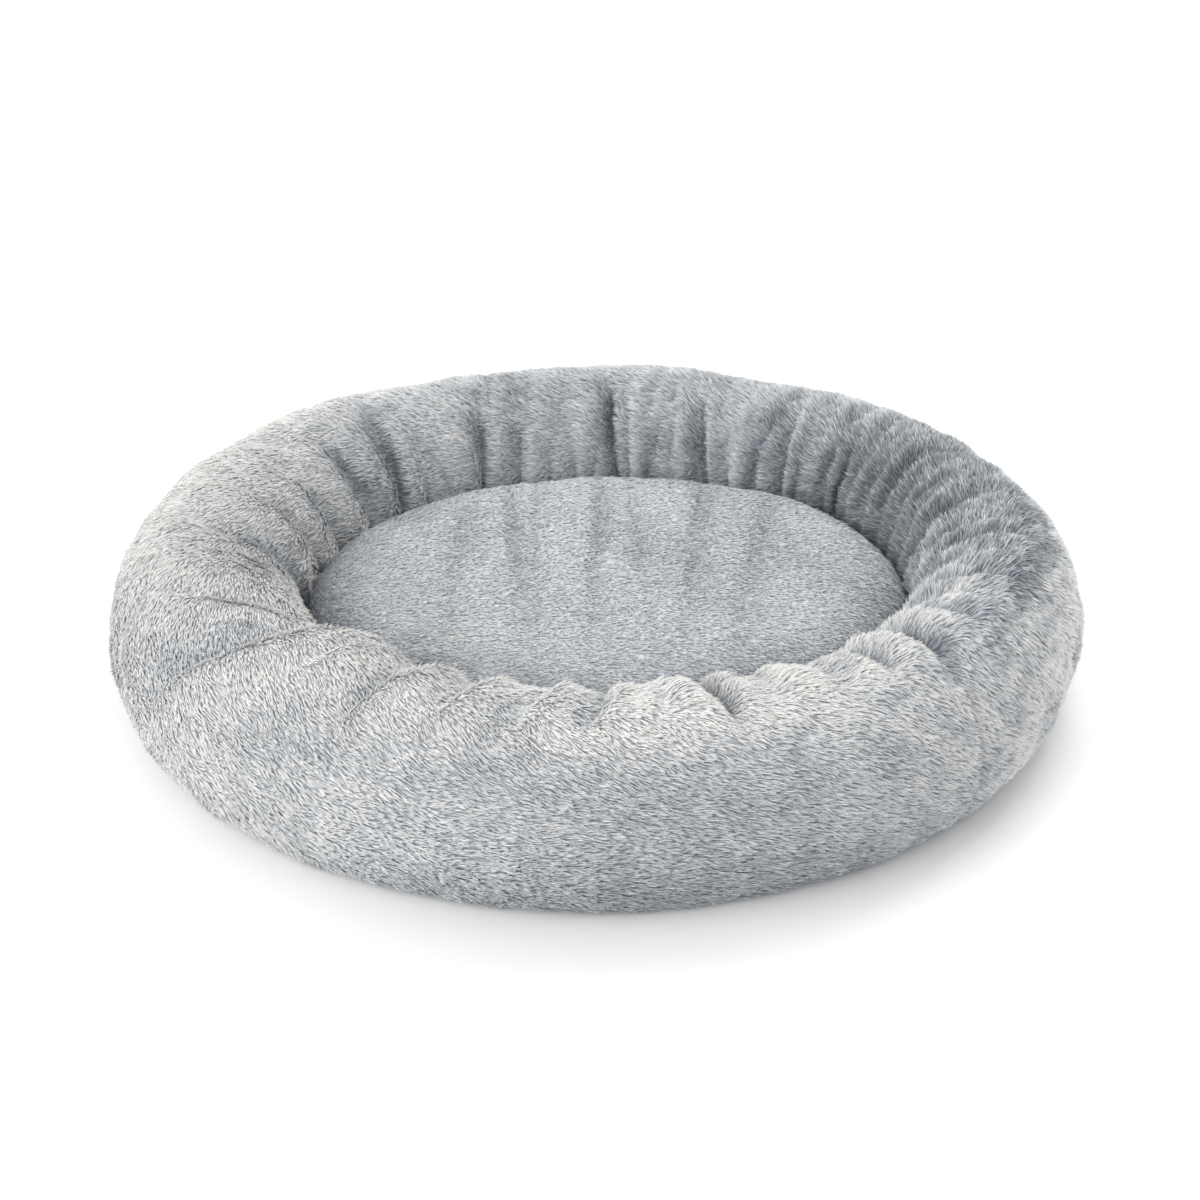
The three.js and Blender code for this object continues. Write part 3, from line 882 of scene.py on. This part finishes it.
class Cushion:
    """A pillow in one grid: from its crown out to its seam, and back to the middle of its foot."""

    def __init__(self):
        self.columns, self.dome, self.foot = ((300, 60, 30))
        self.seam = BASE_HIGH[2]
        shares = np.concatenate([
            np.sin(np.linspace(0.01, 1, self.dome) * math.pi / 2),
            np.sin(np.linspace(1, 0.01, self.foot + 1)[1:] * math.pi / 2),
        ])
        under = np.arange(len(shares)) >= self.dome
        crown = TOP_HIGH[2] - PILE
        self.turn, share = np.meshgrid(once_round(self.columns), shares, indexing="ij")
        self.share = share
        fullness = 4.8 + 1.4 * np.cos(self.turn)
        rise = (crown - self.seam) * np.maximum(1 - share ** fullness, 0) ** 0.42
        drop = (self.seam - BASE_LOW[2]) * np.maximum(1 - share ** 7, 0) ** 0.5
        z = self.seam + FLAT_SIZE * np.where(under, -drop, rise)
        x = WELL_X + FLAT_SIZE * CUSHION_SEMI[0] * share * np.cos(self.turn)
        y = FLAT_SIZE * CUSHION_SEMI[1] * share * np.sin(self.turn)
        self.points = np.stack([x, y, z], -1)
        self.settle(under)

    def settle(self, under):
        """Inflates the pillow, whose seam is shorter than its cloth, and fits it to its room."""
        rows = self.points.shape[1]
        loose = smooth_step(0.02, 0.2, np.abs(np.arange(rows) - self.dome) / self.dome)
        loose = np.broadcast_to(loose, self.share.shape).ravel()
        held = np.broadcast_to(under & (self.share < 0.6), self.share.shape).ravel()
        settled = blow_up(with_middles(self.points), *spindle_faces(self.columns, rows),
                          pressure=8, slack=0.04, cap=16 * MM,
                          held=np.append(held, [False, True]), loose=np.append(loose, [1, 0]))
        moved = blur(settled[:-2].reshape(self.points.shape) - self.points, 2, 0)
        middle = smooth_step(0.5, 0.2, self.share)[..., None]
        moved += middle * (moved.mean(0) - moved)
        normal = self.normals()
        swelling = (moved * normal).sum(-1).mean(0)
        points = self.points + moved - normal * swelling[:, None]
        low, high = points.min((0, 1)), points.max((0, 1))
        room_low = BASE_LOW + np.array([1 * MM, 1 * MM, 0.5 * MM])
        room_high = TOP_HIGH - np.array([1 * MM, 1 * MM, PILE])
        self.points = room_low + (points - low) / (high - low) * (room_high - room_low)

    def finish_surface(self):
        """Puckers along the seam, and the soft creases over the dome."""
        normal = self.normals()
        near = np.exp(-np.abs(np.arange(self.points.shape[1]) - self.dome) / 7.0)
        gathers = np.cos(54 * self.turn + 4 * np.sin(3 * self.turn)) * near
        relief = 1.5 * MM * gathers - 2.5 * MM * near ** 3
        relief = relief - self.crease_depth()
        self.points = self.points + normal * relief[..., None]
        self.normal = self.normals()

    def normals(self):
        """Outward normals, which are upright round the middle of the dome and of the foot."""
        normal = unit(np.cross(np.gradient(self.points, axis=1),
                               np.roll(self.points, -1, 0) - np.roll(self.points, 1, 0)))
        middle = smooth_step(0.16, 0.08, self.share)[..., None]
        upright = np.where(np.arange(self.points.shape[1]) < self.dome, 1.0, -1.0)
        return unit(normal * (1 - middle) + middle * upright[:, None] * np.array([0, 0, 1.0]))

    def crease_depth(self):
        """How deep the soft creases are over the dome."""
        along, back = self.points[..., 0] - WELL_X, self.points[..., 1]
        over = (np.arange(self.points.shape[1]) < self.dome) * smooth_step(1.0, 0.75, self.share)
        depth = np.zeros_like(along)
        for middle, slant, half_width, deep in CREASES:
            away = (along - middle - slant * back) / (half_width * MM)
            depth += deep * MM * np.exp(-away ** 2) * smooth_step(-0.2, 0.05, back)
        return depth * over

    def shell(self, name, top, material):
        """The dome's cloth, or the base's, as a closed skin that ends at the seam."""
        rows = slice(0, self.dome) if top else slice(self.dome - 1, None)
        outer = self.points[:, rows]
        inner = (outer - CLOTH * self.normal[:, rows])[:, ::-1]
        return spindle(name, np.concatenate([outer, inner] if top else [inner, outer], 1), material)


def cushion_patch(cushion, seed):
    """The cushion's dome, whose nap lies along the bed."""
    top = np.arange(cushion.points.shape[1]) <= cushion.dome + 1
    weight = np.broadcast_to(top, cushion.share.shape).astype(float)
    nap = np.broadcast_to([0.94, -0.34, 0.0], cushion.points.shape)
    # painted shade: the strands are darker towards the right, near the seam and in the creases; the
    # clumps are the pile's own uneven tone
    tone = 0.645 - 0.05 * cushion.share * np.cos(cushion.turn)
    tone = tone + 0.07 * clumps(cushion.points.reshape(-1, 3), 8).reshape(tone.shape)
    tone = tone - 0.25 * smooth_step(0.8, 1, cushion.share) - cushion.crease_depth() / (10 * MM)
    return Patch(cushion.points, cushion.normal, nap, tone, weight, seed)


# ---- the floor's layers
def waves(turn, share, height, seed):
    """Low ripples of cloth that lies flat, over its turn and its share of the way out."""
    rng = np.random.default_rng(seed)
    total = np.zeros_like(turn)
    for _ in range(9):
        round_waves, out_waves = rng.integers(2, 15), rng.uniform(1, 5)
        total += np.cos(round_waves * turn + rng.uniform(0, 6.3)) * np.cos(out_waves * 3 * share)
    return height * total * share / 9


def cloth_disc(name, node, material, height, seed):
    """A flat-lying oval of cloth with a thickness, in the room that its CAD node holds."""
    low, high = node_box(node)
    turn, share = np.meshgrid(once_round(240), np.linspace(0.01, 1, 50), indexing="ij")
    semi = (high - low)[:2] / 2
    middle = (high + low)[:2] / 2
    x = middle[0] + semi[0] * share * np.cos(turn)
    y = middle[1] + semi[1] * share * np.sin(turn)
    edge = 0.35 * (high - low)[2] * np.maximum(0, share - 0.985) / 0.015
    ripple = waves(turn, share, height, seed)
    top = np.stack([x, y, high[2] - height - edge + ripple], -1)
    bottom = np.stack([x, y, low[2] + height + edge + ripple], -1)
    return spindle(name, np.concatenate([top, bottom[:, ::-1]], 1), material)


def oval_band(name, reach, low, high, gathers, height, material):
    """A tape round the oval with rounded edges and small gathers, between two offsets."""
    columns, rows = 960, 14
    turn, roll = np.meshgrid(once_round(columns), once_round(rows), indexing="ij")
    corner = np.maximum(np.abs(np.cos(roll)), np.abs(np.sin(roll))) ** 0.7
    middle, half = (reach[0] + reach[1]) / 2, (reach[1] - reach[0]) / 2
    offset = middle + half * np.cos(roll) / corner
    x, y = oval(turn, offset / (WIDTH / 2))
    ripple = height * np.cos(gathers * turn + 2 * np.sin(7 * turn))
    z = (low + high) / 2 + ((high - low) / 2 - height) * np.sin(roll) / corner + ripple
    points = np.stack([x, y, z], -1).reshape(-1, 3)
    return make_piece(name, points, ring_quads(columns, rows, True), [material])


def grip_dots(name, node, material):
    """The raised dots of non-slip cloth, in rows under the base."""
    low, high = node_box(node)
    pitch, radius, height, sides = 15 * MM, 3.2 * MM, 0.5 * MM, 10
    # more rows and columns than the base has room for: those past its edge are dropped
    row, column = np.mgrid[-30:31, -32:33]
    x, y = (column + 0.5 * (row % 2)) * pitch, row * pitch * math.sqrt(3) / 2
    places = np.column_stack([x.ravel(), y.ravel()])
    semi = (high - low)[:2] / 2 - 2 * pitch
    places = places[((places / semi) ** 2).sum(-1) < 1] + (high + low)[:2] / 2
    circle = np.stack([np.cos(once_round(sides)), np.sin(once_round(sides))], -1)
    surface = low[2] + 0.45 * MM
    rings = [(1.0, surface + 0.2 * MM), (1.0, surface), (0.72, surface - 0.7 * height)]
    dot = [np.column_stack([circle * radius * share, np.full(sides, z)]) for share, z in rings]
    dot = np.concatenate([*dot, [[0, 0, surface - height * 0.9]]])
    step, ahead = np.arange(sides), (np.arange(sides) + 1) % sides
    walls = [np.stack([step + r, ahead + r, ahead + r + sides, step + r + sides], -1)
             for r in (0, sides)]
    tips = np.stack([step + 2 * sides, ahead + 2 * sides, np.full(sides, 3 * sides)], -1)
    offsets = np.column_stack([places, np.zeros(len(places))])
    points = (dot[None] + offsets[:, None]).reshape(-1, 3)
    starts = np.arange(len(places))[:, None, None] * len(dot)
    quads = (np.concatenate(walls)[None, :, ::-1] + starts).reshape(-1, 4)
    fans = (tips[None, :, ::-1] + starts).reshape(-1, 3)
    return make_piece(name, points, quads, [material], fans)


# ---- threads, tapes and the zip
def tube_points(line, radius, sides, across=None):
    """Rings of points round a line, and the faces between them."""
    line = np.asarray(line)
    ahead = unit(np.gradient(line, axis=0))
    across = np.array([0, 0, 1.0]) if across is None else across
    side = unit(np.cross(ahead, across))
    up = np.cross(side, ahead)
    angle = once_round(sides)
    radius = np.broadcast_to(radius, len(line))[:, None, None]
    rings = line[:, None] + radius * (np.cos(angle)[None, :, None] * side[:, None]
                                      + np.sin(angle)[None, :, None] * up[:, None])
    return rings.reshape(-1, 3), ring_quads(len(line), sides, False)


def threads(name, firsts, lasts, bow, radius, material):
    """Short stitches between pairs of points, each bowed out of the cloth along the bow."""
    points, quads = [], []
    shares = np.array([0.0, 0.1, 0.35, 0.65, 0.9, 1.0])
    lift = np.array([-1.0, 0.2, 1.0, 1.0, 0.2, -1.0])
    thick = radius * np.array([0.3, 0.85, 1, 1, 0.85, 0.3])
    for first, last in zip(firsts, lasts):
        line = first + shares[:, None] * (last - first) + lift[:, None] * bow
        ring, faces = tube_points(line, thick, 6, unit(bow))
        quads.append(faces + len(points) * len(ring))
        points.append(ring)
    return make_piece(name, np.concatenate(points), np.concatenate(quads), [material])


ZIP_JOINT = next(joint for joint in frame["joints"] if joint["name"] == "zip_travel")
ZIP_CENTRE = np.array(ZIP_JOINT["pos_m"])
ZIP_TILT = math.radians(20)
ZIP_LENGTH = 360 * MM
ZIP_RADIUS = 530.8 * MM
TAPE_EDGE = 13.5 * MM
TAPE_THICKNESS = 0.8 * MM


def zip_point(distance, up, out):
    """A point by its distance along the zip, its height up the slope and its stand-off."""
    distance, up, out = np.broadcast_arrays(distance, up, out)
    turn = distance / ZIP_RADIUS
    reach = ZIP_RADIUS + up * math.sin(ZIP_TILT) + out * math.cos(ZIP_TILT)
    rise = up * math.cos(ZIP_TILT) - out * math.sin(ZIP_TILT)
    return ZIP_CENTRE + np.stack([reach * np.sin(turn), reach * np.cos(turn), rise], -1)


def zip_tape(name, side, material):
    """One woven tape, slightly wavy at its far edge. side is 1 above the coils, -1 below."""
    columns, rows = 420, 12
    reach = ZIP_LENGTH / 2 - 2 * MM
    distance = np.linspace(-reach, reach, columns)[:, None]
    up = side * np.linspace(2.3 * MM, TAPE_EDGE - 0.3 * MM, rows)[None]
    far = np.linspace(0, 1, rows)[None] ** 2
    wave = 0.25 * MM * far * np.sin(distance * 190 + side) * np.sin(distance * 71)
    front = zip_point(distance, up, -0.05 * MM + wave)[::-side]
    back = zip_point(distance, up, -TAPE_THICKNESS + wave)[::-side]
    return between_skins(name, front, back, material)


def zip_coil(name, side, material):
    """A coil of nylon wire. The two coils interlock along the zip's middle line."""
    pitch, wire = 1.6 * MM, 0.27 * MM
    reach = ZIP_LENGTH / 2 - 9 * MM
    turns = int(2 * reach / pitch)
    phase = np.linspace(0, turns * 2 * math.pi, turns * 12 + 1)
    distance = -reach + phase / (2 * math.pi) * pitch + (side > 0) * pitch / 2
    up = side * (0.95 * MM + 1.25 * MM * np.cos(phase))
    out = 0.15 * MM + 0.75 * MM * np.sin(phase)
    points, quads = tube_points(zip_point(distance, up, out), wire, 6, np.array([0, 1.0, 0.3]))
    return make_piece(name, points, quads, [material])


def zip_stitches(name, material):
    """The two rows of stitching that hold the tapes to the cover."""
    pitch, length = 3.2 * MM, 2.5 * MM
    starts = np.arange(-ZIP_LENGTH / 2 + 4 * MM, ZIP_LENGTH / 2 - 4 * MM, pitch)
    rows = [np.concatenate([zip_point(ends, side * 8.6 * MM, 0.1 * MM) for side in (1, -1)])
            for ends in (starts, starts + length)]
    out = zip_point(0, 0, 1 * MM) - zip_point(0, 0, 0)
    return threads(name, *rows, 0.16 * out, 0.18 * MM, material)


def bevelled(name, node, width, material):
    """A CAD node's shape with its edges rounded."""
    piece = add_object(name, frame["nodes"][node].data.copy())
    piece.data.materials.clear()
    piece.data.materials.append(material)
    bevel = piece.modifiers.new("bevel", "BEVEL")
    bevel.width = width
    bevel.segments = 3
    bevel.limit_method = "ANGLE"
    bevel.angle_limit = math.radians(35)
    rounded = bpy.data.meshes.new_from_object(
        piece.evaluated_get(bpy.context.evaluated_depsgraph_get()))
    piece.modifiers.clear()
    piece.data = rounded
    return piece


def binding_stitches(name, material):
    """Stitches along the underside of the binding."""
    pitch, length, way_round = 5 * MM, 3.8 * MM, 2.43
    count = int(way_round / pitch)
    turns = once_round(count)
    step = 2 * math.pi / count * length / pitch
    rows = []
    for turn in (turns, turns + step):
        x, y = oval(turn, (BINDING[0] + 2.5 * MM) / (WIDTH / 2))
        rows.append(np.stack([x, y, np.full(count, BINDING_LOW + 0.1 * MM)], -1))
    return threads(name, *rows, np.array([0, 0, -0.16 * MM]), 0.22 * MM, material)


# ---- the care label
def care_label(material, thread):
    """A blank woven label, curled away from the cover, and the stitches along its sewn edge."""
    points = np.array([vertex.co for vertex in frame["nodes"]["care_label"].data.vertices])
    middle = points.mean(0)
    wide, tall, out = np.linalg.svd(points - middle)[2]
    tall = tall * np.sign(tall[2])
    out = out * np.sign(out[1])
    half_wide = np.abs((points - middle) @ wide).max()
    half_tall = np.abs((points - middle) @ tall).max()
    columns, rows = 44, 32
    across, up = np.meshgrid(np.linspace(-1, 1, columns), np.linspace(-1, 1, rows), indexing="ij")
    curl = 1.6 * MM * ((up + 1) / 2) ** 2 * (1 + 0.5 * across) + 0.5 * MM * np.cos(3 * across)
    if np.cross(wide, tall) @ out < 0:
        wide = -wide
    surface = (middle + (across * half_wide * 0.99)[..., None] * wide
               + (up * half_tall * 0.99)[..., None] * tall + curl[..., None] * out)
    skins = (surface + 0.22 * MM * out, surface - 0.22 * MM * out)
    label = between_skins("care_label_cloth", *skins, material)
    starts = np.linspace(-0.92, 0.86, 12)
    rows_of_ends = []
    for shift in (0, 0.1):
        place = (starts + shift)[:, None]
        bend = 0.5 * MM * np.cos(3 * place) + 0.3 * MM
        rows_of_ends.append(middle + place * half_wide * wide - 0.86 * half_tall * tall + bend * out)
    bow = 0.15 * MM * out
    return label, threads("care_label_stitches", *rows_of_ends, bow, 0.16 * MM, thread)


# ---- the whole
add_camera()
add_studio()
PLUSH = plush_material()
STRANDS = strand_material()
LINING = woven_material("lining_cloth", (0.30, 0.32, 0.34), 0.8 * MM)
TAPE = woven_material("tape_cloth", (0.26, 0.28, 0.30), 0.6 * MM)
BASE_CLOTH = woven_material("base_cloth", (0.07, 0.075, 0.085), 1.0 * MM, 0.6)
LABEL = woven_material("label_cloth", (0.80, 0.80, 0.79), 0.4 * MM, 0.2, 0.6)
THREAD = woven_material("thread", (0.36, 0.38, 0.41), 0.3 * MM, 0.4, 0.7)
FIBRE = grained_material("fibre", (130, 6, 1.5), (0.3, (0.74, 0.74, 0.72)),
                         (0.6, (0.93, 0.93, 0.91)), (0.8, 2 * MM), 0.95)
METAL = grained_material("zip_metal", (400, 3), (0.3, (0.50, 0.51, 0.53)), (0.7, (0.68, 0.69, 0.71)),
                         (0.15, 0.05 * MM), 0.32, (1, 1, 12), Metallic=1.0)
COIL = grained_material("zip_coil", (500, 2), (0.3, (0.30, 0.32, 0.34)), (0.7, (0.40, 0.42, 0.44)),
                        None, 0.4, Coat_Weight=0.1)
DOTS = grained_material("grip_dots", (300, 3), (0.35, (0.10, 0.105, 0.11)),
                        (0.65, (0.15, 0.155, 0.16)), (0.2, 0.1 * MM), 0.55)
BINDING_LOW, BINDING_HIGH = (corner[2] for corner in node_box("base_binding"))


def place_piece(piece, body, nodes=()):
    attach(piece, body)
    if nodes:
        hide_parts(*nodes)
    return piece


skin = Bolster()
for number, (side, begin) in enumerate((("front", SEAM_TURNS[0]), ("back", SEAM_TURNS[1]))):
    cover = half_ring("plush_cover_" + side, skin, begin, PLUSH)
    place_piece(cover, "bed", ["bolster_cover_" + side])
    bolster_patch(skin, begin, 100 + number).grow(cover, 8.5 * MM, 0.7 * MM, STRANDS)
bag = skin.layer("inner_bag_cloth", 6 * MM, LINING)
place_piece(bag, "bed", ["bolster_inner_bag"])
stuffing = skin.layer("bolster_fibre", 8 * MM, FIBRE)
place_piece(stuffing, "bed", ["bolster_fill"])

cushion = Cushion()
cushion.finish_surface()
top = cushion.shell("cushion_plush", True, PLUSH)
place_piece(top, "cushion", ["cushion_top_cover"])
flow = np.zeros((len(top.data.vertices), 3), np.float32)
top.data.vertices.foreach_get("co", flow.ravel())
set_attribute(top, "flow", flow * [1, 1, 0])
set_attribute(top, "shade", np.full(len(flow), 0.9))
cushion_patch(cushion, 300).grow(top, 6 * MM, 0.65 * MM, STRANDS)
base = cushion.shell("cushion_lining", False, LINING)
place_piece(base, "cushion", ["cushion_base_cover"])
filling = spindle("cushion_fibre", cushion.points - 2 * CLOTH * cushion.normal, FIBRE)
place_piece(filling, "cushion", ["cushion_fill"])

layers = (("base_cloth_panel", "base_panel", BASE_CLOTH, "base_cloth", 0.15 * MM),
          ("base_wadding_sheet", "base_wadding", FIBRE, "fibre", 0.4 * MM),
          ("base_lining_sheet", "base_lining", LINING, "lining", 0.15 * MM))
for number, (name, node, material, slot, height) in enumerate(layers):
    piece = cloth_disc(name, node, material, height, 40 + number)
    place_piece(piece, "bed", [node])
place_piece(grip_dots("grip_dots", "base_panel", DOTS), "bed")
band = oval_band("base_binding_tape", BINDING, BINDING_LOW, BINDING_HIGH, 260, 0.25 * MM, TAPE)
place_piece(band, "bed", ["base_binding"])
place_piece(binding_stitches("binding_stitches", THREAD), "bed")
tape_low, tape_high = (corner[2] for corner in node_box("gather_tape"))
band = oval_band("gather_tape_cloth", GATHER_TAPE, tape_low, tape_high, 96, 0.2 * MM, TAPE)
place_piece(band, "bed", ["gather_tape"])

for label, side in (("upper", 1), ("lower", -1)):
    place_piece(zip_tape("zip_cloth_" + label, side, TAPE), "bed", ["zip_tape_" + label])
    place_piece(zip_coil("zip_wire_" + label, side, COIL), "bed", ["zip_coil_" + label])
place_piece(zip_stitches("zip_stitches", THREAD), "bed")
for node, body, width in (("zip_stop_closed", "bed", 0.3 * MM), ("zip_stop_open", "bed", 0.3 * MM),
                          ("zip_slider", "zip_slider", 0.25 * MM), ("zip_pull", "zip_pull", 0.2 * MM)):
    place_piece(bevelled(node + "_metal", node, width, METAL), body, [node])
label, stitching = care_label(LABEL, THREAD)
place_piece(label, "bed", ["care_label"])
place_piece(stitching, "bed")
